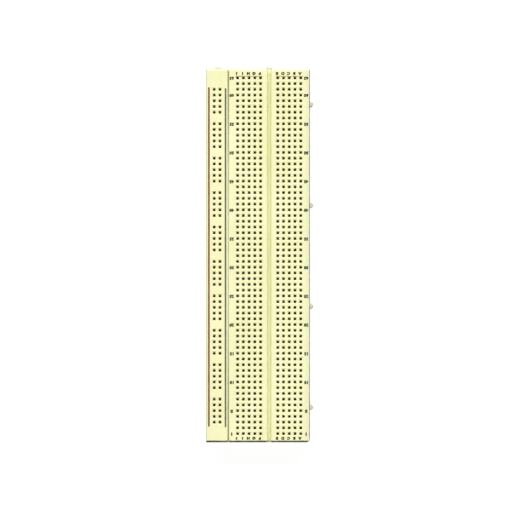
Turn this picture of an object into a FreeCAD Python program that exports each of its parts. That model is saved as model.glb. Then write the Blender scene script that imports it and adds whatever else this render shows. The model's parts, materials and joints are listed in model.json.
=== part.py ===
import FreeCAD, Part
import math
import os
import Sketcher

# Solderless breadboard of 730 tie points: a terminal strip of 63 rows by 10 columns, with one bus strip
# of 2 by 50 points dovetailed to its J side. +X runs from column J to column A, +Y from row 1 to row 63
# and +Z up. The origin is on the resting surface under the middle of the terminal strip. Millimetres.

DOCUMENT_NAME = "solderless_breadboard"
SHEET_NAME = "Size"
PARTS_FOLDER = "parts"

DRIVING_DIMENSIONS = [
    # alias, value, meaning
    ("pitch", 2.54, "spacing of the tie points"),
    ("row_count", 63, "rows of the terminal strip"),
    ("side_columns", 5, "tie points of one row clip"),
    ("side_centre", 8.89, "middle of one side's five columns from the strip's centre line"),
    ("group_count", 10, "groups of tie points along a bus column"),
    ("group_size", 5, "tie points in one group"),
    ("group_pitch", 15.24, "spacing of the groups"),
    ("bus_column", 1.27, "bus column from the bus strip's centre line"),
    ("strip_length", 165.1, "length of both strips"),
    ("terminal_width", 36.0, "width of the terminal strip"),
    ("bus_width", 9.7, "width of the bus strip"),
    ("seam_gap", 0.2, "gap between the two strips"),
    ("body_height", 8.5, "height of the moulded bodies"),
    ("top_plate", 1.3, "plate over the contact cavities"),
    ("edge_chamfer", 0.3, "chamfer along the long top edges"),
    ("end_chamfer", 0.6, "chamfer along the short top edges"),
    ("corner_radius", 0.25, "radius of the upright corners"),
    ("keyed_radius", 1.7, "radius of the terminal strip's corner by A1"),
    ("hole_width", 1.1, "square hole for a wire"),
    ("mouth_width", 1.75, "mouth of the hole's funnel"),
    ("hole_overrun", 0.3, "how far the cut of a hole runs on into its cavity"),
    ("channel_width", 2.0, "channel between columns E and F"),
    ("channel_depth", 1.6, "depth of that channel"),
    ("cavity_width", 1.9, "width of a contact cavity"),
    ("cavity_end", 1.12, "cavity past the centre of its last tie point"),
    ("groove_depth", 1.7, "depth of the groove for a bus contact's spine"),
    ("metal", 0.2, "thickness of the contact strip"),
    ("clip_base", 1.5, "width of a contact's base"),
    ("clip_height", 6.9, "height of a contact"),
    ("shoulder_height", 2.2, "where the fingers start to lean in"),
    ("pinch_height", 5.4, "where the fingers pinch the wire"),
    ("pinch_gap", 0.12, "gap between a relaxed pair of fingers"),
    ("flare_gap", 1.2, "gap between the finger tips"),
    ("spine_height", 1.3, "part of a contact that isn't slit"),
    ("finger_width", 2.04, "width of one finger"),
    ("tab_neck", 1.6, "width of a dovetail tab at its root"),
    ("tab_head", 2.4, "width of its round head"),
    ("tab_reach", 1.45, "how far a tab stands out"),
    ("tab_height", 6.0, "height of a tab"),
    ("tab_chamfer", 0.3, "chamfer round the top of a tab"),
    ("tab_count", 4, "tabs along one side"),
    ("tab_spacing", 44.8, "spacing of those tabs"),
    ("tab_clearance", 0.2, "clearance round a tab in its slot"),
    ("bus_end_offset", 0.4, "bus strip's end tab from its centre line"),
    ("foam_thickness", 0.8, "self-adhesive foam backing"),
    ("liner_thickness", 0.1, "release liner under the foam"),
    ("backing_inset", 1.9, "backing stops short of the strip's edge"),
    ("backing_radius", 0.5, "corner radius of the backing"),
]

# Expressions that several sub-parts use, in the sheet's names.
BODY_BASE = "(Size.liner_thickness + Size.foam_thickness)"
BUS_CENTRE = "(-(Size.terminal_width + Size.bus_width) / 2 - Size.seam_gap)"
FIRST_ROW = "(-(Size.row_count - 1) / 2 * Size.pitch)"
FIRST_GROUP = "(-(Size.group_count - 1) / 2 * Size.group_pitch)"
FIRST_TAB = "(-(Size.tab_count - 1) / 2 * Size.tab_spacing)"
GROUP_HALF = "((Size.group_size - 1) / 2 * Size.pitch)"
SIDE_HALF = "((Size.side_columns - 1) / 2 * Size.pitch)"
CAVITY_DEPTH = "(Size.body_height - Size.top_plate)"
FUNNEL_DEPTH = "((Size.mouth_width - Size.hole_width) / 2)"
HOLE_DEPTH = "(Size.top_plate + Size.hole_overrun)"
ROWS_PER_NODE = 5

# The funnel walls slope at 45 degrees, so a funnel is as deep as its wall is wide.
FUNNEL_TAPER = -45

# Two lengths in millimetres that differ by less than this are the same.
SAME = 0.01

# Points of a sketched line or arc, as a constraint numbers them.
START, END, CENTRE = 1, 2, 3


def make_sheet(doc):
    """Write the driving dimensions, one to a row, with an alias for each value."""
    sheet = doc.addObject("Spreadsheet::Sheet", SHEET_NAME)
    for row, (alias, value, meaning) in enumerate(DRIVING_DIMENSIONS, start=1):
        sheet.set(f"A{row}", meaning)
        sheet.set(f"B{row}", str(value))
        sheet.setAlias(f"B{row}", alias)
    doc.recompute()
    return sheet


def evaluate(owner, expression):
    """Return what an expression comes to, as a plain number of millimetres."""
    value = owner.evalExpression(expression)
    return float(getattr(value, "Value", value))


def origin_feature(body, role):
    return next(feature for feature in body.Origin.OriginFeatures if feature.Role == role)


def new_body(doc, label, x, y, z):
    """Start a sub-part whose own origin lies at an expression for each axis."""
    body = doc.addObject("PartDesign::Body", label)
    body.Label = label
    for axis, expression in zip("xyz", (x, y, z)):
        body.setExpression(f"Placement.Base.{axis}", expression)
    return body


def new_sketch(body, name, role="XY_Plane", lift="0"):
    sketch = body.newObject("Sketcher::SketchObject", name)
    sketch.AttachmentSupport = [(origin_feature(body, role), "")]
    sketch.MapMode = "FlatFace"
    sketch.setExpression("AttachmentOffset.Base.z", lift)
    return sketch


def add_outline(sketch, corners, arc=None):
    """Draw a closed outline, anticlockwise, through corners given as pairs of expressions.

    Expressions tie each corner to the sketch's origin. arc is (side, centre x, centre y, kind): that
    side is an arc about the centre, which the kind, DistanceX or DistanceY, fixes in one direction.
    The two ends of the arc fix it in the other.
    """
    first = sketch.GeometryCount
    count = len(corners)
    spots = [FreeCAD.Vector(evaluate(sketch, x), evaluate(sketch, y), 0) for x, y in corners]
    sides = [Part.LineSegment(spots[side], spots[(side + 1) % count]) for side in range(count)]
    ties = []
    for side, (x, y) in enumerate(corners):
        ties.append((side, START, "DistanceX", x, spots[side].x))
        ties.append((side, START, "DistanceY", y, spots[side].y))
    if arc:
        side, centre_x, centre_y, kind = arc
        centre = FreeCAD.Vector(evaluate(sketch, centre_x), evaluate(sketch, centre_y), 0)
        rays = [spots[side] - centre, spots[side + 1] - centre]
        circle = Part.Circle(centre, FreeCAD.Vector(0, 0, 1), rays[0].Length)
        sides[side] = Part.ArcOfCircle(circle, *(math.atan2(ray.y, ray.x) for ray in rays))
        across = kind == "DistanceX"
        ties.append((side, CENTRE, kind, centre_x if across else centre_y, centre.x if across else centre.y))
    sketch.addGeometry(sides)
    joints = [("Coincident", first + side, END, first + (side + 1) % count, START) for side in range(count)]
    fixes = [(kind, -1, 1, first + side, point, value) for side, point, kind, _, value in ties]
    numbers = sketch.addConstraint([Sketcher.Constraint(*terms) for terms in joints + fixes])
    for number, tie in zip(numbers[count:], ties):
        sketch.setExpression(f"Constraints[{number}]", tie[3])


def add_rectangle(sketch, x, y, width, height):
    """Draw a rectangle about a centre."""
    left, right = f"{x} - ({width}) / 2", f"{x} + ({width}) / 2"
    low, high = f"{y} - ({height}) / 2", f"{y} + ({height}) / 2"
    add_outline(sketch, [(left, low), (right, low), (right, high), (left, high)])


def add_dovetail(sketch, wall, centre, along_y, clearance="0"):
    """Draw a dovetail that stands out of a wall: a neck that widens into a round head.

    It points along +X, or along +Y where along_y is set. A slot is drawn with a clearance.
    """
    radius = f"(Size.tab_head / 2 + {clearance})"
    neck = f"(Size.tab_neck / 2 + {clearance})"
    head = "(Size.tab_reach - Size.tab_head / 2)"
    out_and_across = [("0", f"-{neck}"), (head, f"-{radius}"), (head, radius), ("0", neck)]
    arc_side = 1
    if along_y:
        corners = [(f"{centre} - ({across})", f"{wall} + {out}") for out, across in out_and_across]
        arc = (arc_side, centre, f"{wall} + {head}", "DistanceY")
    else:
        corners = [(f"{wall} + {out}", f"{centre} + ({across})") for out, across in out_and_across]
        arc = (arc_side, f"{wall} + {head}", centre, "DistanceX")
    add_outline(sketch, corners, arc)


def pad(body, sketch, length, midplane=False):
    feature = body.newObject("PartDesign::Pad", sketch.Name + "_pad")
    feature.Profile = sketch
    feature.setExpression("Length", length)
    feature.Midplane = midplane
    body.Document.recompute()
    return feature


def cut_volume(body, feature, before):
    """Stop if a cutting feature took nothing away."""
    body.Document.recompute()
    if feature.Shape.Volume >= before:
        raise RuntimeError(f"{feature.Name} cuts nothing")
    return feature


def pocket(body, sketch, depth, upwards=False, taper=0):
    """Cut down from a sketch, or up from it."""
    before = body.Tip.Shape.Volume
    feature = body.newObject("PartDesign::Pocket", sketch.Name + "_pocket")
    feature.Profile = sketch
    feature.setExpression("Length", depth)
    feature.Reversed = upwards
    feature.TaperAngle = taper
    return cut_volume(body, feature, before)


def slit(body, sketch):
    """Cut right through on both sides of a sketch."""
    before = body.Tip.Shape.Volume
    feature = body.newObject("PartDesign::Pocket", sketch.Name + "_slit")
    feature.Profile = sketch
    feature.Type = "ThroughAll"
    feature.Midplane = True
    return cut_volume(body, feature, before)


def repeat(body, name, originals, role, spacing, count):
    """Repeat features along one of the body's axes."""
    pattern = body.newObject("PartDesign::LinearPattern", name)
    pattern.Originals = originals
    pattern.Direction = (origin_feature(body, role), [""])
    pattern.Mode = "Spacing"
    pattern.setExpression("Offset", spacing)
    pattern.setExpression("Occurrences", count)
    pattern.Refine = False
    body.Tip = pattern
    body.Document.recompute()
    return pattern


def dress(body, kind, size_name, size, picked):
    """Add a Fillet or Chamfer to the edges of the tip for which picked is true."""
    base = body.Tip
    edges = [f"Edge{n}" for n, edge in enumerate(base.Shape.Edges, start=1) if picked(edge)]
    feature = body.newObject(f"PartDesign::{kind}", f"{body.Name}_{kind.lower()}")
    feature.Base = (base, edges)
    feature.setExpression(size_name, size)
    body.Document.recompute()
    return feature


def is_upright(edge):
    direction = edge.Vertexes[-1].Point - edge.Vertexes[0].Point
    return abs(direction.z) > edge.Length - SAME


def is_keyed_corner(edge):
    return is_upright(edge) and edge.Vertexes[0].X > 0 and edge.Vertexes[0].Y < 0


def bevel_ends(body):
    """Plane off the top edge of both ends with a wedge that reaches past the block."""
    wedges = new_sketch(body, body.Name + "_wedges", "YZ_Plane")
    inner = "(Size.strip_length / 2 - 2 * Size.end_chamfer)"
    outer = "(Size.strip_length / 2 + Size.end_chamfer)"
    low = "Size.body_height - 2 * Size.end_chamfer"
    high = "Size.body_height + Size.end_chamfer"
    add_outline(wedges, [(inner, high), (outer, low), (outer, high)])
    add_outline(wedges, [(f"-{inner}", high), (f"-{outer}", high), (f"-{outer}", low)])
    slit(body, wedges)


def round_and_chamfer(body, keyed):
    """Round the upright corners of a plain block, and chamfer its top edges."""
    if keyed:
        dress(body, "Fillet", "Radius", "Size.keyed_radius", is_keyed_corner)
    height = evaluate(body, "Size.body_height")
    end = evaluate(body, "Size.strip_length / 2")
    side = body.Tip.Shape.BoundBox.XMax

    def is_at_side(corner):
        return abs(abs(corner.X) - side) < SAME

    def is_sharp_corner(edge):
        corner = edge.Vertexes[0]
        return is_upright(edge) and is_at_side(corner) and abs(abs(corner.Y) - end) < SAME

    def is_long_top_edge(edge):
        first, last = edge.Vertexes[0], edge.Vertexes[-1]
        level = abs(first.Z - height) < SAME and abs(last.Z - height) < SAME
        return level and is_at_side(first) and abs(first.X - last.X) < SAME

    dress(body, "Fillet", "Radius", "Size.corner_radius", is_sharp_corner)
    bevel_ends(body)
    dress(body, "Chamfer", "Size", "Size.edge_chamfer", is_long_top_edge)


def chamfer_tabs(body):
    """Chamfer the top rim of each tab's round head; the tabs stand out of the block in +X and +Y."""
    height = evaluate(body, "Size.tab_height")
    end = evaluate(body, "Size.strip_length / 2")
    side = -body.Tip.Shape.BoundBox.XMin

    def is_on_rim(corner):
        stands_out = corner.X > side + SAME or corner.Y > end + SAME
        return stands_out and abs(corner.Z - height) < SAME

    dress(body, "Chamfer", "Size", "Size.tab_chamfer", lambda edge: all(map(is_on_rim, edge.Vertexes)))


def add_dovetails(body, width, end_centre):
    """Give a strip its tabs on the +X side and +Y end, and the matching slots on the other two.

    A slot is drawn from the neighbour's wall, which lies a seam away, because the neighbour's tab is.
    """
    side = f"({width}) / 2"
    end = "Size.strip_length / 2"
    clearance = "Size.tab_clearance"
    slot_height = "Size.tab_height + Size.tab_clearance"

    side_tab = new_sketch(body, body.Name + "_side_tab")
    add_dovetail(side_tab, side, FIRST_TAB, along_y=False)
    tab = pad(body, side_tab, "Size.tab_height")
    repeat(body, body.Name + "_side_tabs", [tab], "Y_Axis", "Size.tab_spacing", "Size.tab_count")

    end_tab = new_sketch(body, body.Name + "_end_tab")
    add_dovetail(end_tab, end, end_centre, along_y=True)
    pad(body, end_tab, "Size.tab_height")
    chamfer_tabs(body)

    side_slot = new_sketch(body, body.Name + "_side_slot")
    add_dovetail(side_slot, f"-{side} - Size.seam_gap", FIRST_TAB, False, clearance)
    slot = pocket(body, side_slot, slot_height, upwards=True)
    repeat(body, body.Name + "_side_slots", [slot], "Y_Axis", "Size.tab_spacing", "Size.tab_count")

    end_slot = new_sketch(body, body.Name + "_end_slot")
    add_dovetail(end_slot, f"-{end} - Size.seam_gap", end_centre, True, clearance)
    pocket(body, end_slot, slot_height, upwards=True)


def add_tie_points(body, columns, first_rows, name, spacing, count):
    """Cut square holes with funnel mouths at columns and first rows, and repeat them along Y."""
    shapes = (("mouth", "Size.mouth_width", FUNNEL_DEPTH, FUNNEL_TAPER),
              ("hole", "Size.hole_width", HOLE_DEPTH, 0))
    cuts = []
    for kind, width, depth, taper in shapes:
        sketch = new_sketch(body, f"{name}_{kind}", lift="Size.body_height")
        for x in columns:
            for y in first_rows:
                add_rectangle(sketch, x, y, width, width)
        cuts.append(pocket(body, sketch, depth, taper=taper))
    repeat(body, f"{name}_grid", cuts, "Y_Axis", spacing, count)


def make_terminal_strip_body(doc):
    """A moulded block, open below: two contact cavities to a row, and a channel down its middle."""
    body = new_body(doc, "terminal_strip_body", "0", "0", BODY_BASE)
    outline = new_sketch(body, "terminal_outline")
    add_rectangle(outline, "0", "0", "Size.terminal_width", "Size.strip_length")
    pad(body, outline, "Size.body_height")
    round_and_chamfer(body, keyed=True)
    add_dovetails(body, "Size.terminal_width", "0")

    channel = new_sketch(body, "terminal_channel", lift="Size.body_height")
    add_rectangle(channel, "0", "0", "Size.channel_width", "Size.strip_length + Size.pitch")
    pocket(body, channel, "Size.channel_depth")

    cavities = new_sketch(body, "terminal_cavity")
    for side in ("-Size.side_centre", "Size.side_centre"):
        add_rectangle(cavities, side, FIRST_ROW, f"2 * ({SIDE_HALF} + Size.cavity_end)", "Size.cavity_width")
    cavity = pocket(body, cavities, CAVITY_DEPTH, upwards=True)
    repeat(body, "terminal_cavities", [cavity], "Y_Axis", "Size.pitch", "Size.row_count")

    side_columns = int(evaluate(body, "Size.side_columns"))
    steps = [number - (side_columns - 1) / 2 for number in range(side_columns)]
    columns = [f"{sign}Size.side_centre + {step} * Size.pitch" for sign in ("-", "") for step in steps]
    add_tie_points(body, columns, [FIRST_ROW], "terminal", "Size.pitch", "Size.row_count")
    return body


def make_bus_strip_body(doc):
    """A narrow block with two columns of cavities, one to a group, joined by a groove below."""
    body = new_body(doc, "bus_strip_body", BUS_CENTRE, "0", BODY_BASE)
    outline = new_sketch(body, "bus_outline")
    add_rectangle(outline, "0", "0", "Size.bus_width", "Size.strip_length")
    pad(body, outline, "Size.body_height")
    round_and_chamfer(body, keyed=False)
    add_dovetails(body, "Size.bus_width", "Size.bus_end_offset")

    columns = ("-Size.bus_column", "Size.bus_column")
    cavities = new_sketch(body, "bus_cavity")
    grooves = new_sketch(body, "bus_groove")
    run = "(Size.group_count - 1) * Size.group_pitch"
    for x in columns:
        add_rectangle(cavities, x, FIRST_GROUP, "Size.cavity_width", f"2 * ({GROUP_HALF} + Size.cavity_end)")
        add_rectangle(grooves, x, "0", "Size.cavity_width", f"{run} + 2 * ({GROUP_HALF} + Size.cavity_end)")
    cavity = pocket(body, cavities, CAVITY_DEPTH, upwards=True)
    repeat(body, "bus_cavities", [cavity], "Y_Axis", "Size.group_pitch", "Size.group_count")
    pocket(body, grooves, "Size.groove_depth", upwards=True)

    group_size = int(evaluate(body, "Size.group_size"))
    steps = [number - (group_size - 1) / 2 for number in range(group_size)]
    rows = [f"{FIRST_GROUP} + {step} * Size.pitch" for step in steps]
    add_tie_points(body, columns, rows, "bus", "Size.group_pitch", "Size.group_count")
    return body


def add_contact_section(sketch):
    """Draw the section of a sprung contact: a base, and two fingers that lean in and then flare."""
    base = "Size.clip_base / 2"
    pinch = "Size.pinch_gap / 2"
    flare = "Size.flare_gap / 2"
    right_outside = [
        (base, "0"),
        (base, "Size.shoulder_height"),
        (f"{pinch} + Size.metal", "Size.pinch_height"),
        (f"{flare} + Size.metal", "Size.clip_height"),
    ]
    right_inside = [
        (flare, "Size.clip_height"),
        (pinch, "Size.pinch_height"),
        (f"{base} - Size.metal", "Size.shoulder_height"),
        (f"{base} - Size.metal", "Size.metal"),
    ]
    right = right_outside + right_inside
    left = [(f"-({across})", up) for across, up in reversed(right)]
    add_outline(sketch, right + left)


def finger_slits(sketch, first):
    """Draw the slits between the fingers of one group of five, from the spine up."""
    count = int(evaluate(sketch, "Size.group_size")) - 1
    middle = "(Size.spine_height + Size.clip_height + Size.metal) / 2"
    height = "Size.clip_height + Size.metal - Size.spine_height"
    for number in range(count):
        x = f"{first} + ({number - (count - 1) / 2}) * Size.pitch"
        add_rectangle(sketch, x, middle, "Size.pitch - Size.finger_width", height)


def make_row_clips(doc, side_name, side, first_row, row_count):
    """The five-point contacts of up to five neighbouring rows on one side, one to a row."""
    last_row = first_row + row_count - 1
    label = f"row_clips_{side_name}_rows_{first_row:02d}_to_{last_row:02d}"
    y = f"{FIRST_ROW} + {first_row - 1} * Size.pitch"
    body = new_body(doc, label, side, y, BODY_BASE)
    body.AllowCompound = True
    section = new_sketch(body, label + "_section", "YZ_Plane")
    add_contact_section(section)
    blank = pad(body, section, f"2 * {SIDE_HALF} + Size.finger_width", midplane=True)
    repeat(body, label + "_blanks", [blank], "Y_Axis", "Size.pitch", str(row_count))
    slits = new_sketch(body, label + "_slits", "XZ_Plane")
    finger_slits(slits, "0")
    slit(body, slits)
    return body


def make_bus_clip(doc, label, side):
    """One contact strip for a whole bus column, with fingers only under its tie points."""
    body = new_body(doc, label, f"{BUS_CENTRE} + {side}", "0", BODY_BASE)
    section = new_sketch(body, label + "_section", "XZ_Plane")
    add_contact_section(section)
    run = "(Size.group_count - 1) * Size.group_pitch"
    pad(body, section, f"{run} + 2 * {GROUP_HALF} + Size.finger_width", midplane=True)

    slits = new_sketch(body, label + "_slits", "YZ_Plane")
    finger_slits(slits, FIRST_GROUP)
    fingers = slit(body, slits)
    repeat(body, label + "_fingers", [fingers], "Y_Axis", "Size.group_pitch", "Size.group_count")

    gap = new_sketch(body, label + "_gap", "YZ_Plane")
    middle = "(Size.spine_height + Size.clip_height + Size.metal) / 2"
    height = "Size.clip_height + Size.metal - Size.spine_height"
    width = f"Size.group_pitch - 2 * {GROUP_HALF} - Size.finger_width"
    add_rectangle(gap, f"{FIRST_GROUP} + Size.group_pitch / 2", middle, width, height)
    blank = slit(body, gap)
    repeat(body, label + "_gaps", [blank], "Y_Axis", "Size.group_pitch", "Size.group_count - 1")
    return body


def make_backing(doc, label, x, z, width, thickness):
    """A sheet under a strip that stops short of its edges, clear of the dovetails."""
    body = new_body(doc, label, x, "0", z)
    outline = new_sketch(body, label + "_outline")
    inset = "2 * Size.backing_inset"
    add_rectangle(outline, "0", "0", f"{width} - {inset}", f"Size.strip_length - {inset}")
    pad(body, outline, thickness)
    dress(body, "Fillet", "Radius", "Size.backing_radius", is_upright)
    return body


def make_parts(doc):
    bodies = [make_terminal_strip_body(doc), make_bus_strip_body(doc)]
    strips = (("terminal", "0", "Size.terminal_width"), ("bus", BUS_CENTRE, "Size.bus_width"))
    for name, x, width in strips:
        foam = (f"{name}_foam_tape", x, "Size.liner_thickness", width, "Size.foam_thickness")
        liner = (f"{name}_release_liner", x, "0", width, "Size.liner_thickness")
        bodies.append(make_backing(doc, *foam))
        bodies.append(make_backing(doc, *liner))
    bodies.append(make_bus_clip(doc, "bus_clip_positive", "-Size.bus_column"))
    bodies.append(make_bus_clip(doc, "bus_clip_negative", "Size.bus_column"))
    row_count = int(evaluate(bodies[0], "Size.row_count"))
    for side_name, side in (("f_to_j", "-Size.side_centre"), ("a_to_e", "Size.side_centre")):
        for first_row in range(1, row_count + 1, ROWS_PER_NODE):
            rows = min(ROWS_PER_NODE, row_count + 1 - first_row)
            bodies.append(make_row_clips(doc, side_name, side, first_row, rows))
    return bodies


def check_parts(doc, bodies):
    """Stop on any failed feature, or on a sub-part that is missing, invalid or badly counted."""
    for item in doc.Objects:
        if "Invalid" in item.State or "Error" in item.State:
            raise RuntimeError(f"{item.Name} did not compute: {item.State}")
    for body in bodies:
        shape = body.Shape
        if shape.isNull() or not shape.isValid() or shape.Volume <= 0:
            raise RuntimeError(f"{body.Label} has no valid shape")
        print(f"{body.Label}: {len(shape.Solids)} solids, {shape.Volume:.2f} mm3")


def main():
    doc = FreeCAD.newDocument(DOCUMENT_NAME)
    make_sheet(doc)
    bodies = make_parts(doc)
    doc.recompute()
    check_parts(doc, bodies)
    os.makedirs(PARTS_FOLDER, exist_ok=True)
    for body in bodies:
        body.Shape.exportStep(os.path.join(PARTS_FOLDER, body.Label + ".step"))


main()
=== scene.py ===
import json
import math

import bmesh
import bpy
from mathutils import Matrix, Vector, noise


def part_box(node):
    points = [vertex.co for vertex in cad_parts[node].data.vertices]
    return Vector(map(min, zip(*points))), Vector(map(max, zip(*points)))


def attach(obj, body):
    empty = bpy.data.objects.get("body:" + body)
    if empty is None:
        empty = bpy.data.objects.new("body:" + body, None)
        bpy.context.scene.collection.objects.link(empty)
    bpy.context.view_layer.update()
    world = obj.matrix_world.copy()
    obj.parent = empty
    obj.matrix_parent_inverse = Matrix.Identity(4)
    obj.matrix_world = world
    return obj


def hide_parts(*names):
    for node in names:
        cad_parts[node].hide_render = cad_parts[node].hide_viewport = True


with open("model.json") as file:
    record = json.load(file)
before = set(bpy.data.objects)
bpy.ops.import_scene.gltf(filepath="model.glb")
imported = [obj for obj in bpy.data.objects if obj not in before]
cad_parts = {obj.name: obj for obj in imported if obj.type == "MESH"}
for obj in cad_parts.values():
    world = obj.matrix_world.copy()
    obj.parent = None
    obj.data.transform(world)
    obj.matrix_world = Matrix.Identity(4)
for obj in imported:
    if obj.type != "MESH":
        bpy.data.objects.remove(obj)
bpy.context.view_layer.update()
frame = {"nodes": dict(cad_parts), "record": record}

# The looks of a solderless breadboard: a terminal strip of 63 rows by columns A to J with a bus strip
# dovetailed to its J side. +X runs from column J to column A, +Y from row 1 to row 63. Metres.

MM = 0.001

# The grid of tie points.
PITCH = 2.54 * MM
ROWS = 63
COLUMNS = "ABCDEFGHIJ"
COLUMN_A = 13.97 * MM
CHANNEL_STEP = 2 * PITCH  # columns E and F are two pitches further apart than the others
NUMBERED_ROWS = [1] + list(range(5, ROWS, 5)) + [ROWS]

# The moulded bodies, from the frame.
TERMINAL_LOW, TERMINAL_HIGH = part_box("terminal_strip_body")
TOP = TERMINAL_HIGH.z
MOUNTS = {mount["name"]: mount for mount in frame["record"]["mounts"]}
BUS_MIDDLE = MOUNTS["bus_base"]["pos_m"][0]
BUS_HALF_WIDTH = BUS_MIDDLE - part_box("bus_strip_body")[0].x
STRIP_HALF_LENGTH = -TERMINAL_LOW.y
TERMINAL_HALF_WIDTH = -TERMINAL_LOW.x

# The parts of a moulded body, as its material tells them apart.
TAB_START = 0.02 * MM  # a dovetail tab is what lies this far past the body's side or end
CHANNEL_HALF_WIDTH = 1.2 * MM
CHANNEL_START = 0.4 * MM  # the channel's floor is what lies further than this below the top
CAVITY_END_MARGIN = 2.4 * MM  # from the last contact cavities to the strip's end
TERMINAL_CAVITIES = (2.2 * MM, TERMINAL_HALF_WIDTH - 2.4 * MM)  # from the strip's middle, to each side
BUS_CAVITIES = (-MM, 2.6 * MM)  # starts below 0, so that the strip's middle is in
UPWARD = 0.35  # least Z of the normal where a face counts as facing up
LEVEL = 0.95  # least Z of the normal where a face counts as flat, and not as a rim
FORWARD = 0.35  # least Y of the normal where a rim counts as facing row 63

# The painted shade and tints of a moulded body. A band is two distances, where a tint starts and where it
# is full.
TAB_PALENESS = 0.85
# Painted shade in the channel's corners.
CHANNEL_CORNERS = (0.35 * MM, 0.75 * MM)  # from the middle of the channel
# Painted shade along the outer side's margin.
GREY_MARGIN = (2.6 * MM, 1.6 * MM)  # from the outer side
# Painted shade at the seam, growing towards the ends.
SEAM_SHADE = 0.60
SEAM_SHADE_BAND = (-0.40 * MM, -0.20 * MM)  # from the strip's side at the seam
SEAM_SHADE_GROWS = (15.0 * MM, 80.0 * MM)  # from the middle of the board, along it
# Painted shade on the low end's bevel, the outer side's bevel and the rims of tabs turned from row 63.
SHADE_RAGGED = 0.11 * MM
END_SHADE = (1.02 * MM, 0.64 * MM)  # from the low end
SIDE_SHADE = (0.45 * MM, 0.20 * MM)  # from the outer side
RIM_SHADE = 0.45
CHANNEL_SPARED = 0.45  # how much less painted shade the end of the channel takes
# Painted shade, with some dirt, inside the holes.
CAVITY_SHADE_AND_DIRT = (-0.33 * MM, -0.75 * MM)  # from the top, downwards

# The ink.
INK_RISE = 0.012 * MM
INK_SINK = 0.006 * MM
INK_WELD = 0.0001 * MM  # points nearer to each other than this are one

# The letters and numbers. A spread is how far a stroke is thickened on each side.
FONT_CAP_SHARE = 0.682  # height of a capital in Blender's own font, as a share of its size
CURVE_STEPS = 5  # segments of each curve; with 4, the mesh of a 3 isn't closed
CHARACTER_SPACE = 1.14
STRIKE_APART = 0.05 * MM
STRIKE_STEP = 0.001 * MM  # keeps the two strikes of a text from lying in one plane
LETTER_HEIGHT = 1.28 * MM
LETTER_STRETCH = 1.15
LETTER_SPREAD = 0.115 * MM
LETTER_BEYOND_ROW = 1.98 * MM
LETTER_SHIFT = -0.35 * MM
DIGIT_HEIGHT = 1.46 * MM
DIGIT_STRETCHES = {1: 1.25, 2: 0.95}  # by how many digits the number has
DIGIT_SPREAD = 0.105 * MM
DIGIT_BEYOND_COLUMN = 2.5 * MM
DIGIT_DROP = 0.15 * MM
DIGIT_SHIFT = -0.12 * MM

# The printed lines, and a thin dark line of painted shade past the last row. Those of the bus strip are
# placed from its middle.
RED_LINE = {"offset": -3.64 * MM, "width": 0.8 * MM, "low": -75.6 * MM, "high": 74.7 * MM}
BLUE_LINE = {"offset": 3.73 * MM, "width": 0.74 * MM, "low": -75.9 * MM, "high": 74.3 * MM}
STEP_SHADE_LINE = {"width": 0.20 * MM, "beyond_row": 0.82 * MM, "past_column": 0.9 * MM}
LINE_STEP = 0.5 * MM
LINE_END_STEPS = 8
LINE_WOBBLE = 0.018 * MM
WOBBLE_SCALE = 900  # of the noise, per metre
WOBBLE_APART = 3.7  # sets the noise of a line's two edges apart

# The backing.
BACKING_CORNER = 0.5 * MM
CORNER_STEPS = 4
FOAM_BULGE = ((0.0, 0.0), (0.12, -0.02), (0.35, -0.07), (0.65, -0.08), (0.88, -0.03), (1.0, 0.0))
FOAM_STEP = 0.6 * MM
FOAM_ROUGH = 0.035 * MM
FOAM_CELL_SCALE = 1600  # of the noise, per metre
LINER_STEP = 0.8 * MM
SLIT_WIDTH = 0.15 * MM
SLIT_WAVES = 4.0
SLIT_REACH = 0.22  # as a share of half the liner's width

# The floor. It glows in the open; it glows less beneath the object, as painted shadow, and least beneath
# the seam's ends, which paints the seam dark.
FLOOR_HALF = 3.0
FLOOR_DROP = 0.05 * MM  # keeps the floor and the liners from lying in one plane
TABLE_GLOW = 0.93
SHADED_GLOW = 0.40
SEAM_GLOW = 0.42
SEAM_END_GLOW = 0.10
SHADE_BAND = (-6.0 * MM, -MM)  # from the object's outline
SEAM_BAND = (0.3 * MM, 1.2 * MM)  # from the seam, sideways
SEAM_DIMS = (20.0 * MM, 70.0 * MM)  # from the middle of the board, along the seam
SEAM_STOPS = (-0.5 * MM, 0.1 * MM)  # from the end of the seam

# The lamps, in metres and watts.
WORLD_GLOW = 0.06
LAMP_LENGTH = 9.0
LAMP_WIDTH = 0.7
KEY_LAMP = {"place": (-0.25, 3.35, 2.6), "power": 330.0}
FILL_LAMP = {"place": (0.25, -2.6, 3.35), "power": 131.0}

# The camera looks straight down at the middle of the board and a little to its J side.
VIEW_WIDTH = 225.7 * MM
VIEW_CENTRE = (-6.28 * MM, 0.40 * MM)
VIEW_END = 10.0
LENS = 180.0
SENSOR = 36.0


# ---------------------------------------------------------------- node helpers

def new_material(name):
    """Start a material with its Principled shader, and return its tree and that shader."""
    material = bpy.data.materials.new(name)
    material.use_nodes = True
    tree = material.node_tree
    return material, tree, tree.nodes["Principled BSDF"]


def add(tree, kind, inputs=None, **attributes):
    """Add a node, set its attributes, and set each named input or link a socket to it."""
    made = tree.nodes.new("ShaderNode" + kind)
    for name, value in attributes.items():
        setattr(made, name, value)
    for name, value in (inputs or {}).items():
        if isinstance(value, bpy.types.NodeSocket):
            tree.links.new(value, made.inputs[name])
        else:
            made.inputs[name].default_value = value
    return made


def math_node(tree, operation, first, second=0.0):
    """Work out one value from one or two others."""
    return add(tree, "Math", {0: first, 1: second}, operation=operation).outputs[0]


def times(tree, *factors):
    """The product of two or more values."""
    product = factors[0]
    for factor in factors[1:]:
        product = math_node(tree, "MULTIPLY", product, factor)
    return product


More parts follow.
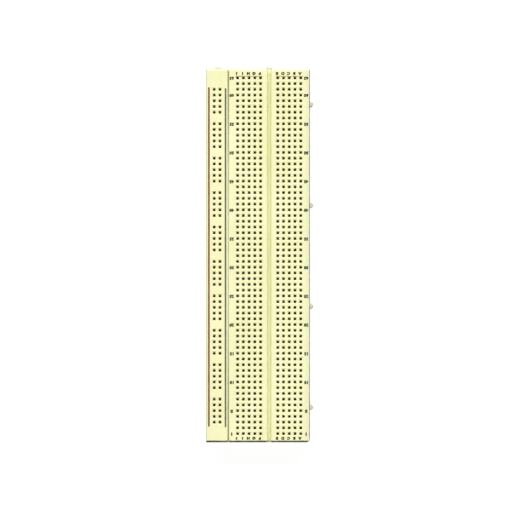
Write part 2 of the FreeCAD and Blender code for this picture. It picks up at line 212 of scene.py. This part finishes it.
def between(tree, value, low, high):
    """1 where a value is between two limits and 0 elsewhere."""
    above = math_node(tree, "GREATER_THAN", value, low)
    below = math_node(tree, "LESS_THAN", value, high)
    return times(tree, above, below)


def spread(tree, value, low, high, to_low, to_high):
    """Map a value from one range to another, and hold it at the ends."""
    inputs = {"Value": value, "From Min": low, "From Max": high, "To Min": to_low, "To Max": to_high}
    return add(tree, "MapRange", inputs).outputs["Result"]


def fade(tree, value, edge, band, start=0.0, full=1.0):
    """Go from start to full as a value crosses a band, whose two distances are from an edge."""
    return spread(tree, value, edge + band[0], edge + band[1], start, full)


def ramp(tree, factor, stops):
    """A colour ramp; stops are (position, colour)."""
    made = add(tree, "ValToRGB", {"Fac": factor})
    elements = made.color_ramp.elements
    while len(elements) < len(stops):
        elements.new(0.5)
    for element, (position, colour) in zip(elements, stops):
        element.position = position
        element.color = (*colour, 1.0)
    return made.outputs["Color"]


def noise_at(tree, scale, detail=4.0, roughness=0.55, stretch=(1, 1, 1)):
    """Noise in the object's own coordinates, in features per metre."""
    place = add(tree, "TexCoord").outputs["Object"]
    if stretch != (1, 1, 1):
        place = add(tree, "Mapping", {"Vector": place, "Scale": stretch}).outputs["Vector"]
    inputs = {"Vector": place, "Scale": scale, "Detail": detail, "Roughness": roughness}
    return add(tree, "TexNoise", inputs).outputs["Fac"]


def mix_colour(tree, factor, first, second, blend="MIX"):
    """Mix two colours; each is a socket or three numbers."""
    made = add(tree, "Mix", data_type="RGBA", blend_type=blend)
    for index, value in ((0, factor), (6, first), (7, second)):
        if isinstance(value, bpy.types.NodeSocket):
            tree.links.new(value, made.inputs[index])
        else:
            made.inputs[index].default_value = value if index == 0 else (*value, 1.0)
    return made.outputs[2]


def bump(tree, height, strength, distance, below=None):
    """A bumped normal, on top of the one below it."""
    inputs = {"Height": height, "Strength": strength, "Distance": distance}
    if below:
        inputs["Normal"] = below
    return add(tree, "Bump", inputs).outputs["Normal"]


# ---------------------------------------------------------------- moulded plastic

def lay_out(tree, middle, half_width, seam_side, channel):
    """Where a point is on a moulded body, as the node values that its tints and painted shade are made
    from.
    """
    place = add(tree, "TexCoord").outputs["Object"]
    x, y, z = (add(tree, "SeparateXYZ", {0: place}).outputs[axis] for axis in "XYZ")
    normal = add(tree, "NewGeometry").outputs["Normal"]
    forward, up = (add(tree, "SeparateXYZ", {0: normal}).outputs[axis] for axis in "YZ")
    sideways = math_node(tree, "SUBTRACT", x, middle)
    across = math_node(tree, "ABSOLUTE", sideways)
    to_seam = math_node(tree, "MULTIPLY", sideways, seam_side)
    facing_up = math_node(tree, "GREATER_THAN", up, UPWARD)
    past_side = math_node(tree, "LESS_THAN", to_seam, -half_width - TAB_START)
    past_end = math_node(tree, "GREATER_THAN", y, STRIP_HALF_LENGTH + TAB_START)
    low_down = math_node(tree, "LESS_THAN", z, TOP - CHANNEL_START)
    return {
        "y": y, "z": z, "forward": forward, "up": up,
        "across": across, "to_seam": to_seam, "along": math_node(tree, "ABSOLUTE", y),
        "facing_up": facing_up, "on_tab": math_node(tree, "MAXIMUM", past_side, past_end),
        "in_channel": times(tree, math_node(tree, "LESS_THAN", across, channel), low_down, facing_up),
    }


def aged_ivory(tree):
    """Ivory that has yellowed in blotches, with a pale speckle and dark specks."""
    blotches = noise_at(tree, 55.0, 3.0)
    base = ramp(tree, blotches, [(0.30, (0.850, 0.838, 0.475)), (0.72, (0.900, 0.890, 0.540))])
    speckle = spread(tree, noise_at(tree, 900.0, 3.0, 0.6), 0.56, 0.72, 0.0, 0.45)
    colour = mix_colour(tree, speckle, base, (0.94, 0.93, 0.66))
    specks = spread(tree, noise_at(tree, 2300.0, 2.0), 0.70, 0.76, 0.0, 0.40)
    return mix_colour(tree, specks, colour, (0.52, 0.49, 0.25))


def with_pale_tabs(tree, at, colour):
    """The dovetail tabs, past the outer side and the high end, are paler than the body."""
    return mix_colour(tree, times(tree, at["on_tab"], TAB_PALENESS), colour, (0.73, 0.72, 0.64))


def with_worn_channel(tree, at, colour):
    """The channel's floor is painted a little darker and yellower as shade, and painted shade lies along
    its corners.
    """
    colour = mix_colour(tree, at["in_channel"], colour, (0.975, 0.995, 0.955), "MULTIPLY")
    # painted shade along the channel's corners
    corners = times(tree, at["in_channel"], fade(tree, at["across"], 0.0, CHANNEL_CORNERS))
    return mix_colour(tree, corners, colour, (0.87, 0.875, 0.845), "MULTIPLY")


def with_grey_margin(tree, at, colour, half_width, outer_shade):
    """The margin by the outer side is painted a little greyer, as shade."""
    margin = fade(tree, at["to_seam"], -half_width, GREY_MARGIN, full=outer_shade)
    return mix_colour(tree, margin, colour, (0.915, 0.925, 0.965), "MULTIPLY")


def with_seam_dust(tree, at, colour, half_width):
    """Olive painted shade lies on the edge at the seam, most towards the ends."""
    deepening = fade(tree, at["along"], 0.0, SEAM_SHADE_GROWS, full=SEAM_SHADE)
    at_seam = fade(tree, at["to_seam"], half_width, SEAM_SHADE_BAND)
    # the seam's olive painted shade
    return mix_colour(tree, times(tree, at_seam, deepening, at["facing_up"]), colour, (0.30, 0.30, 0.06))


def with_grime(tree, at, colour, half_width, outer_shade):
    """Ragged painted shade lies on the low end and the outer side, and on rims of tabs that don't face
    row 63.
    """
    ragged = spread(tree, noise_at(tree, 420.0, 5.0, 0.7), 0.3, 0.7, -SHADE_RAGGED, SHADE_RAGGED)
    low_end = fade(tree, math_node(tree, "ADD", at["y"], ragged), -STRIP_HALF_LENGTH, END_SHADE)
    to_side = math_node(tree, "ADD", at["to_seam"], ragged)
    at_side = fade(tree, to_side, -half_width, SIDE_SHADE, full=outer_shade)
    spared = math_node(tree, "MAXIMUM", at["on_tab"], times(tree, at["in_channel"], CHANNEL_SPARED))
    taken = math_node(tree, "SUBTRACT", 1.0, spared)
    edges = times(tree, math_node(tree, "MAXIMUM", low_end, at_side), taken)
    sloping = math_node(tree, "LESS_THAN", at["up"], LEVEL)
    not_forward = math_node(tree, "LESS_THAN", at["forward"], FORWARD)
    rims = times(tree, at["on_tab"], sloping, not_forward, RIM_SHADE)
    uneven = spread(tree, noise_at(tree, 380.0, 3.0), 0.35, 0.6, 0.90, 1.0)
    painted_shade = times(tree, math_node(tree, "MAXIMUM", edges, rims), at["facing_up"], uneven)
    # the dark tones of the painted shade on bevels and rims
    tones = [(0.35, (0.032, 0.030, 0.014)), (0.65, (0.062, 0.058, 0.029))]
    return mix_colour(tree, painted_shade, colour, ramp(tree, noise_at(tree, 240.0, 3.0), tones))


def with_dark_holes(tree, at, colour, cavities):
    """The holes are painted dark below their funnels: painted shade, with some dirt."""
    lengthwise = math_node(tree, "LESS_THAN", at["along"], STRIP_HALF_LENGTH - CAVITY_END_MARGIN)
    over_cavities = times(tree, between(tree, at["across"], *cavities), lengthwise)
    depth = fade(tree, at["z"], TOP, CAVITY_SHADE_AND_DIRT)
    return mix_colour(tree, times(tree, over_cavities, depth), colour, (0.120, 0.115, 0.016))


def moulded_plastic(name, middle, half_width, cavities, seam_side, outer_shade, channel):
    """Ivory ABS: blotchy ageing, a fine moulded grain, rubbing marks, painted shade with some dirt in its
    holes, and painted shade in its channel, at its seam and on its edges.

    middle and half_width place the strip. cavities are the distances from its middle between which the
    contact cavities lie. seam_side is the side, -1 or 1, that meets the other strip. channel is half the
    width of a channel down the middle, or 0.
    """
    material, tree, shader = new_material(name)
    at = lay_out(tree, middle, half_width, seam_side, channel)
    colour = with_pale_tabs(tree, at, aged_ivory(tree))
    colour = with_worn_channel(tree, at, colour)
    colour = with_grey_margin(tree, at, colour, half_width, outer_shade)
    colour = with_seam_dust(tree, at, colour, half_width)
    colour = with_grime(tree, at, colour, half_width, outer_shade)
    colour = with_dark_holes(tree, at, colour, cavities)
    tree.links.new(colour, shader.inputs["Base Color"])

    rubbed = noise_at(tree, 130.0, 5.0, 0.7, (1.0, 0.35, 1.0))
    tree.links.new(spread(tree, rubbed, 0.3, 0.7, 0.38, 0.52), shader.inputs["Roughness"])
    grain = bump(tree, noise_at(tree, 4200.0, 3.0), 0.30, 0.04 * MM)
    waves = bump(tree, noise_at(tree, 110.0, 2.0), 0.16, 0.30 * MM, grain)
    tree.links.new(waves, shader.inputs["Normal"])
    shader.inputs["IOR"].default_value = 1.52
    shader.inputs["Specular IOR Level"].default_value = 0.35
    return material


# ---------------------------------------------------------------- other materials

def contact_metal():
    """Nickel-plated sprung bronze: rolled grain, a warm tarnish in patches, and a soft sheen."""
    material, tree, shader = new_material("contact_metal")
    patches = noise_at(tree, 420.0, 4.0)
    plating = ramp(tree, patches, [(0.35, (0.66, 0.60, 0.38)), (0.62, (0.82, 0.78, 0.58))])
    tree.links.new(plating, shader.inputs["Base Color"])
    rolled = noise_at(tree, 2600.0, 2.0, 0.6, (1.0, 14.0, 14.0))
    tree.links.new(spread(tree, rolled, 0.3, 0.7, 0.42, 0.58), shader.inputs["Roughness"])
    tree.links.new(bump(tree, rolled, 0.15, 0.01 * MM), shader.inputs["Normal"])
    shader.inputs["Metallic"].default_value = 1.0
    return material


def foam():
    """White closed-cell foam: cut cells, with painted shade in them, and a slight yellowing."""
    material, tree, shader = new_material("foam_tape")
    place = add(tree, "TexCoord").outputs["Object"]
    cells = add(tree, "TexVoronoi", {"Vector": place, "Scale": 4200.0}, feature="F1").outputs["Distance"]
    tone = noise_at(tree, 160.0, 4.0)
    base = ramp(tree, tone, [(0.3, (0.80, 0.79, 0.72)), (0.7, (0.90, 0.895, 0.86))])
    # painted shade inside each cut cell
    cell_shade = spread(tree, cells, 0.0, 0.55, 1.0, 0.0)
    colour = mix_colour(tree, cell_shade, base, (0.55, 0.54, 0.50), "MULTIPLY")
    tree.links.new(colour, shader.inputs["Base Color"])
    tree.links.new(bump(tree, cells, 0.6, 0.12 * MM), shader.inputs["Normal"])
    shader.inputs["Roughness"].default_value = 0.92
    shader.inputs["Specular IOR Level"].default_value = 0.25
    return material


def release_paper():
    """Waxed kraft paper: fibres both ways, a warm tan tone and a waxy gloss."""
    material, tree, shader = new_material("release_paper")
    lengthwise = noise_at(tree, 900.0, 6.0, 0.7, (3.0, 0.5, 1.0))
    crosswise = noise_at(tree, 900.0, 6.0, 0.7, (0.5, 3.0, 1.0))
    fibres = times(tree, math_node(tree, "ADD", lengthwise, crosswise), 0.5)
    base = ramp(tree, fibres, [(0.38, (0.66, 0.58, 0.38)), (0.60, (0.80, 0.74, 0.55))])
    tree.links.new(base, shader.inputs["Base Color"])
    tree.links.new(bump(tree, fibres, 0.25, 0.02 * MM), shader.inputs["Normal"])
    shader.inputs["Roughness"].default_value = 0.55
    shader.inputs["Coat Weight"].default_value = 0.35
    shader.inputs["Coat Roughness"].default_value = 0.35
    return material


def ink(name, thick, thin):
    """Printed ink, also the finish of a painted shade line: a little uneven in density, with pinholes
    where the moulding shows through.
    """
    material, tree, shader = new_material(name)
    density = noise_at(tree, 620.0, 4.0, 0.6)
    pinholes = spread(tree, noise_at(tree, 3800.0, 2.0), 0.70, 0.78, 0.0, 0.6)
    base = ramp(tree, density, [(0.35, thick), (0.70, thin)])
    tree.links.new(mix_colour(tree, pinholes, base, (0.80, 0.77, 0.52)), shader.inputs["Base Color"])
    tree.links.new(spread(tree, density, 0.3, 0.7, 0.42, 0.60), shader.inputs["Roughness"])
    tree.links.new(bump(tree, density, 0.2, 0.01 * MM), shader.inputs["Normal"])
    return material


def floor_glow(tree):
    """How brightly the floor glows at each place: dimmer beneath the object and the seam, as painted
    shadow.
    """
    place = add(tree, "TexCoord").outputs["Object"]
    x, y = (add(tree, "SeparateXYZ", {0: place}).outputs[axis] for axis in "XY")
    left = BUS_MIDDLE - BUS_HALF_WIDTH
    middle, reach = (left + TERMINAL_HALF_WIDTH) / 2, (TERMINAL_HALF_WIDTH - left) / 2
    across = math_node(tree, "ABSOLUTE", math_node(tree, "SUBTRACT", x, middle))
    along = math_node(tree, "ABSOLUTE", y)
    beside = fade(tree, across, reach, SHADE_BAND, SHADED_GLOW, TABLE_GLOW)
    beyond = fade(tree, along, STRIP_HALF_LENGTH, SHADE_BAND, SHADED_GLOW, TABLE_GLOW)
    # painted shadow beneath the seam, seen through the gap from above
    from_seam = math_node(tree, "ABSOLUTE", math_node(tree, "ADD", x, TERMINAL_HALF_WIDTH))
    through_seam = fade(tree, along, 0.0, SEAM_DIMS, SEAM_GLOW, SEAM_END_GLOW)
    near_seam = fade(tree, from_seam, 0.0, SEAM_BAND, through_seam, TABLE_GLOW)
    past_end = fade(tree, along, STRIP_HALF_LENGTH, SEAM_STOPS, 0.0, TABLE_GLOW)
    beneath = math_node(tree, "MAXIMUM", beside, beyond)
    at_seam = math_node(tree, "MAXIMUM", near_seam, past_end)
    return math_node(tree, "MINIMUM", beneath, at_seam)


def studio_floor():
    """A light table that glows white. It is clear from below, so that the underside can be looked at."""
    material, tree, shader = new_material("studio_floor")
    base = ramp(tree, noise_at(tree, 2.0, 2.0), [(0.0, (0.07, 0.07, 0.07)), (1.0, (0.09, 0.09, 0.09))])
    tree.links.new(base, shader.inputs["Base Color"])
    shader.inputs["Roughness"].default_value = 0.9
    shader.inputs["Emission Color"].default_value = (1.0, 1.0, 1.0, 1.0)
    tree.links.new(floor_glow(tree), shader.inputs["Emission Strength"])
    # Sampled as lamps, the floor's two huge triangles would light the underside unevenly.
    material.cycles.emission_sampling = "NONE"

    clear = add(tree, "BsdfTransparent").outputs["BSDF"]
    from_below = add(tree, "NewGeometry").outputs["Backfacing"]
    shown = add(tree, "MixShader", {0: from_below, 1: shader.outputs["BSDF"], 2: clear}).outputs["Shader"]
    tree.links.new(shown, tree.nodes["Material Output"].inputs["Surface"])
    return material


def dress_cad_nodes():
    """Give every CAD node that stays visible its material."""
    finishes = {
        "terminal_strip_body": moulded_plastic(
            "terminal_plastic", 0.0, TERMINAL_HALF_WIDTH, TERMINAL_CAVITIES,
            seam_side=-1, outer_shade=0.85, channel=CHANNEL_HALF_WIDTH),
        "bus_strip_body": moulded_plastic(
            "bus_plastic", BUS_MIDDLE, BUS_HALF_WIDTH, BUS_CAVITIES,
            seam_side=1, outer_shade=0.30, channel=0.0),
    }
    metal = contact_metal()
    for name, node in frame["nodes"].items():
        if "clip" in name:
            finishes[name] = metal
        if name in finishes:
            for slot in node.material_slots:
                slot.material = finishes[name]
            if not node.material_slots:
                node.data.materials.append(finishes[name])


# ---------------------------------------------------------------- mesh helpers

def ride_piece(name, mesh, material, body):
    """Show a mesh as a piece of its own that rides on a CAD body."""
    mesh.materials.append(material)
    piece = bpy.data.objects.new(name, mesh)
    bpy.context.scene.collection.objects.link(piece)
    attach(piece, body)
    return piece


def new_piece(name, vertices, faces, material, body):
    """Make a closed mesh with its faces outwards, and show it as a piece."""
    mesh = bpy.data.meshes.new(name)
    mesh.from_pydata(vertices, [], faces)
    mesh.validate()
    outwards = bmesh.new()
    outwards.from_mesh(mesh)
    bmesh.ops.recalc_face_normals(outwards, faces=outwards.faces)
    outwards.to_mesh(mesh)
    outwards.free()
    return ride_piece(name, mesh, material, body)


def rounded_outline(low, high, radius, step):
    """Points round a rectangle with round corners, anticlockwise, about a step apart."""
    points = []
    corners = [(high.x, low.y, -90), (high.x, high.y, 0), (low.x, high.y, 90), (low.x, low.y, 180)]
    for number, (x, y, start) in enumerate(corners):
        centre = Vector((x - math.copysign(radius, x - (low.x + high.x) / 2),
                         y - math.copysign(radius, y - (low.y + high.y) / 2)))
        for part in range(CORNER_STEPS + 1):
            angle = math.radians(start + 90 * part / CORNER_STEPS)
            points.append(centre + radius * Vector((math.cos(angle), math.sin(angle))))
        following = corners[(number + 1) % len(corners)]
        ahead = Vector((following[0] - x, following[1] - y))
        straight = ahead.length - 2 * radius
        count = max(1, int(straight / step))
        start_point = points[-1].copy()
        for part in range(1, count):
            points.append(start_point + ahead.normalized() * straight * part / count)
    return points


# ---------------------------------------------------------------- backing

def foam_pad(node, name, body, material):
    """A foam tape whose cut edge is pulled in at mid height and rough with open cells."""
    low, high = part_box(node)
    outline = rounded_outline(low, high, BACKING_CORNER, FOAM_STEP)
    middle = Vector(((low.x + high.x) / 2, (low.y + high.y) / 2))
    count = len(outline)
    vertices = []
    for share, pulled in FOAM_BULGE:
        z = low.z + share * (high.z - low.z)
        for number, point in enumerate(outline):
            before, after = outline[number - 1], outline[(number + 1) % count]
            outward = Vector((after.y - before.y, before.x - after.x)).normalized()
            cell = noise.noise(Vector((point.x, point.y, z)) * FOAM_CELL_SCALE)
            edge = 0.0 if share in (0.0, 1.0) else -abs(cell) * FOAM_ROUGH
            vertices.append((*(point + outward * (pulled * MM + edge)), z))
    faces = []
    for ring in range(len(FOAM_BULGE) - 1):
        for number in range(count):
            following = (number + 1) % count
            lower, upper = ring * count, (ring + 1) * count
            faces.append((lower + number, lower + following, upper + following, upper + number))
    for ring, z in ((0, low.z), (len(FOAM_BULGE) - 1, high.z)):
        vertices.append((*middle, z))
        hub = len(vertices) - 1
        for number in range(count):
            faces.append((ring * count + number, ring * count + (number + 1) % count, hub))
    piece = new_piece(name, vertices, faces, material, body)
    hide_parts(node)


def liner_sheet(node, name, body, material):
    """A release liner in two halves that meet at a wavy slit, where it is picked off."""
    low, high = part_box(node)
    half_width, middle = (high.x - low.x) / 2, (high.x + low.x) / 2
    half_length = (high.y - low.y) / 2
    count = int(2 * half_length / LINER_STEP)
    vertices, faces = [], []
    for side in (-1, 1):
        first = len(vertices)
        for row in range(count + 1):
            y = -half_length + 2 * half_length * row / count
            to_end = half_length - abs(y)
            corner = 0.0
            if to_end < BACKING_CORNER:
                corner = BACKING_CORNER - math.sqrt(BACKING_CORNER ** 2 - (BACKING_CORNER - to_end) ** 2)
            wave = SLIT_REACH * half_width * math.sin(SLIT_WAVES * math.pi * y / half_length)
            inner = middle + wave + side * SLIT_WIDTH / 2
            outer = middle + side * (half_width - corner)
            for x, z in ((inner, low.z), (outer, low.z), (outer, high.z), (inner, high.z)):
                vertices.append((x, y + (low.y + high.y) / 2, z))
        for row in range(count):
            for edge in range(4):
                here, there = first + 4 * row, first + 4 * (row + 1)
                faces.append((here + edge, here + (edge + 1) % 4, there + (edge + 1) % 4, there + edge))
        for end in (first, first + 4 * count):
            faces.append(tuple(end + point for point in range(4)))
    piece = new_piece(name, vertices, faces, material, body)
    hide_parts(node)


# ---------------------------------------------------------------- print, and a line of painted shade

def column_x(letter):
    """Where a column of tie points is."""
    number = COLUMNS.index(letter)
    gap = CHANNEL_STEP if number >= len(COLUMNS) // 2 else 0.0
    return COLUMN_A - number * PITCH - gap


def row_y(number):
    """Where a row of tie points is."""
    return (number - (ROWS + 1) / 2) * PITCH


def ink_piece(name, outline, material, body):
    """Print a closed outline with the thickness of ink."""
    ring = len(outline)
    vertices = [(x, y, z) for z in (TOP - INK_SINK, TOP + INK_RISE) for x, y in outline]
    faces = [(n, (n + 1) % ring, ring + (n + 1) % ring, ring + n) for n in range(ring)]
    faces += [tuple(range(ring)), tuple(range(ring, 2 * ring))]
    new_piece(name, vertices, faces, material, body)


def printed_line(name, x, line, material):
    """Print a stripe along the bus strip, with round ends and edges that waver a little."""
    half = line["width"] / 2
    count = int((line["high"] - line["low"]) / LINE_STEP)
    outline = []
    for side in (1, -1):
        for number in range(count + 1):
            share = number / count
            y = line["low"] + half + share * (line["high"] - line["low"] - 2 * half)
            y = y if side == 1 else line["high"] + line["low"] - y
            waver = noise.noise(Vector((side * WOBBLE_APART, y * WOBBLE_SCALE, 0))) * LINE_WOBBLE
            outline.append((x + side * (half + waver), y))
        centre_y = line["high"] - half if side == 1 else line["low"] + half
        for part in range(1, LINE_END_STEPS):
            angle = math.radians((0 if side == 1 else 180) + 180 * part / LINE_END_STEPS)
            outline.append((x + half * math.cos(angle), centre_y + half * math.sin(angle)))
    ink_piece(name, outline, material, "bus_strip")


def hairline(name, first, last, material):
    """Draw a thin dark line past the last row's tie points on one side of the channel: painted shade of a
    shallow step.
    """
    low, high = sorted((column_x(first), column_x(last)))
    low, high = low - STEP_SHADE_LINE["past_column"], high + STEP_SHADE_LINE["past_column"]
    middle = row_y(ROWS) + STEP_SHADE_LINE["beyond_row"]
    count = int((high - low) / LINE_STEP)
    outline = []
    for side in (-1, 1):
        for number in range(count + 1):
            x = low + (high - low) * (number if side == -1 else count - number) / count
            waver = noise.noise(Vector((x * WOBBLE_SCALE, side * WOBBLE_APART, 0))) * LINE_WOBBLE
            outline.append((x, middle + side * (STEP_SHADE_LINE["width"] / 2 + waver)))
    ink_piece(name, outline, material, "terminal_strip")


def text_mesh(text, height, boldness, stretch):
    """A short text as thick as ink, centred, and turned so that it reads with row 1 at the top."""
    curve = bpy.data.curves.new(text, "FONT")
    curve.body = text
    curve.size = (height - 2 * boldness) / FONT_CAP_SHARE
    curve.offset = boldness
    curve.extrude = (INK_RISE + INK_SINK) / 2
    curve.resolution_u = CURVE_STEPS
    curve.space_character = CHARACTER_SPACE
    maker = bpy.data.objects.new(text, curve)
    bpy.context.scene.collection.objects.link(maker)
    bpy.context.view_layer.update()
    shaped = maker.evaluated_get(bpy.context.evaluated_depsgraph_get())
    mesh = bpy.data.meshes.new_from_object(shaped)
    bpy.data.objects.remove(maker)
    bpy.data.curves.remove(curve)
    xs = [vertex.co.x for vertex in mesh.vertices]
    ys = [vertex.co.y for vertex in mesh.vertices]
    centred = Matrix.Translation((-(min(xs) + max(xs)) / 2, -(min(ys) + max(ys)) / 2, 0))
    fitted = Matrix.Diagonal((stretch, height / (max(ys) - min(ys)), 1, 1)) @ centred
    mesh.transform(Matrix.Rotation(math.pi, 4, "Z") @ fitted)
    return mesh


def lettering(name, items, height, boldness, material):
    """Print short texts as one piece, each struck twice, a hair apart.

    items are (text, x, y, stretch).
    """
    level = TOP + (INK_RISE - INK_SINK) / 2
    joined = bmesh.new()
    for text, x, y, stretch in items:
        mesh = text_mesh(text, height, boldness, stretch)
        for strike in (-1, 1):
            nudge = Vector((strike * STRIKE_APART, strike * STRIKE_APART / 2, strike * STRIKE_STEP))
            struck = mesh.copy()
            struck.transform(Matrix.Translation(Vector((x, y, level)) + nudge))
            joined.from_mesh(struck)
            bpy.data.meshes.remove(struck)
        bpy.data.meshes.remove(mesh)
    bmesh.ops.remove_doubles(joined, verts=joined.verts, dist=INK_WELD)
    mesh = bpy.data.meshes.new(name)
    joined.to_mesh(mesh)
    joined.free()
    ride_piece(name, mesh, material, "terminal_strip")


def print_legends():
    """Print the letters at both ends, the numbers at both sides and the lines, and draw the dark lines of
    painted shade past the last row.
    """
    black = ink("black_ink", (0.022, 0.019, 0.006), (0.052, 0.047, 0.018))
    for row, side in ((1, -1), (ROWS, 1)):
        y = row_y(row) + side * LETTER_BEYOND_ROW
        items = [(letter, column_x(letter) + LETTER_SHIFT, y, LETTER_STRETCH) for letter in COLUMNS]
        lettering(f"column_letters_row_{row}", items, LETTER_HEIGHT, LETTER_SPREAD, black)
    for letter, side in (("A", 1), ("J", -1)):
        x = column_x(letter) + side * DIGIT_BEYOND_COLUMN + DIGIT_SHIFT
        items = []
        for row in NUMBERED_ROWS:
            text = str(row)
            items.append((text, x, row_y(row) - DIGIT_DROP, DIGIT_STRETCHES[len(text)]))
        lettering(f"row_numbers_column_{letter}", items, DIGIT_HEIGHT, DIGIT_SPREAD, black)
    red = ink("red_ink", (0.185, 0.078, 0.046), (0.255, 0.122, 0.072))
    blue = ink("blue_ink", (0.095, 0.107, 0.075), (0.150, 0.163, 0.112))
    printed_line("bus_line_positive", BUS_MIDDLE + RED_LINE["offset"], RED_LINE, red)
    printed_line("bus_line_negative", BUS_MIDDLE + BLUE_LINE["offset"], BLUE_LINE, blue)
    # Not ink: a thin dark line of painted shade, as a shallow step would cast, past the last row.
    faint = ink("faint_ink", (0.10, 0.095, 0.050), (0.20, 0.19, 0.10))
    hairline("row_line_a_to_e", "A", "E", faint)
    hairline("row_line_f_to_j", "F", "J", faint)


# ---------------------------------------------------------------- studio

def make_floor():
    """Lay the floor just under the object."""
    mesh = bpy.data.meshes.new("floor")
    corners = [(-FLOOR_HALF, -FLOOR_HALF), (FLOOR_HALF, -FLOOR_HALF),
               (FLOOR_HALF, FLOOR_HALF), (-FLOOR_HALF, FLOOR_HALF)]
    mesh.from_pydata([(x, y, -FLOOR_DROP) for x, y in corners], [], [(0, 1, 2, 3)])
    mesh.materials.append(studio_floor())
    floor = bpy.data.objects.new("floor", mesh)
    bpy.context.scene.collection.objects.link(floor)


def strip_light(name, place, power):
    """A long soft lamp, parallel to X, that faces the middle of the board."""
    lamp = bpy.data.lights.new(name, "AREA")
    lamp.shape = "RECTANGLE"
    lamp.size = LAMP_LENGTH
    lamp.size_y = LAMP_WIDTH
    lamp.energy = power
    light = bpy.data.objects.new(name, lamp)
    bpy.context.scene.collection.objects.link(light)
    light.location = place
    light.rotation_mode = "QUATERNION"
    light.rotation_quaternion = (-Vector(place)).to_track_quat("-Z", "Y")


def make_lights():
    """Light the board from past row 63, more faintly from past row 1, and a little from all round."""
    world = bpy.data.worlds.new("studio")
    world.use_nodes = True
    background = world.node_tree.nodes["Background"]
    background.inputs["Color"].default_value = (1.0, 1.0, 1.0, 1.0)
    background.inputs["Strength"].default_value = WORLD_GLOW
    bpy.context.scene.world = world
    strip_light("key", **KEY_LAMP)
    strip_light("fill", **FILL_LAMP)


def make_camera():
    """Look straight down, from high enough that a long lens takes in the width of the view."""
    data = bpy.data.cameras.new("camera")
    data.lens = LENS
    data.sensor_width = SENSOR
    data.clip_end = VIEW_END
    camera = bpy.data.objects.new("camera", data)
    bpy.context.scene.collection.objects.link(camera)
    camera.location = (*VIEW_CENTRE, TOP + VIEW_WIDTH * LENS / SENSOR)
    bpy.context.scene.camera = camera
    bpy.context.scene.view_settings.view_transform = "Standard"


# ---------------------------------------------------------------- the scene

make_camera()
make_lights()
make_floor()
dress_cad_nodes()
foam_material = foam()
paper_material = release_paper()
for strip in ("terminal", "bus"):
    foam_pad(f"{strip}_foam_tape", f"{strip}_foam_pad", f"{strip}_strip", foam_material)
    liner_sheet(f"{strip}_release_liner", f"{strip}_liner_sheet", f"{strip}_strip", paper_material)
print_legends()
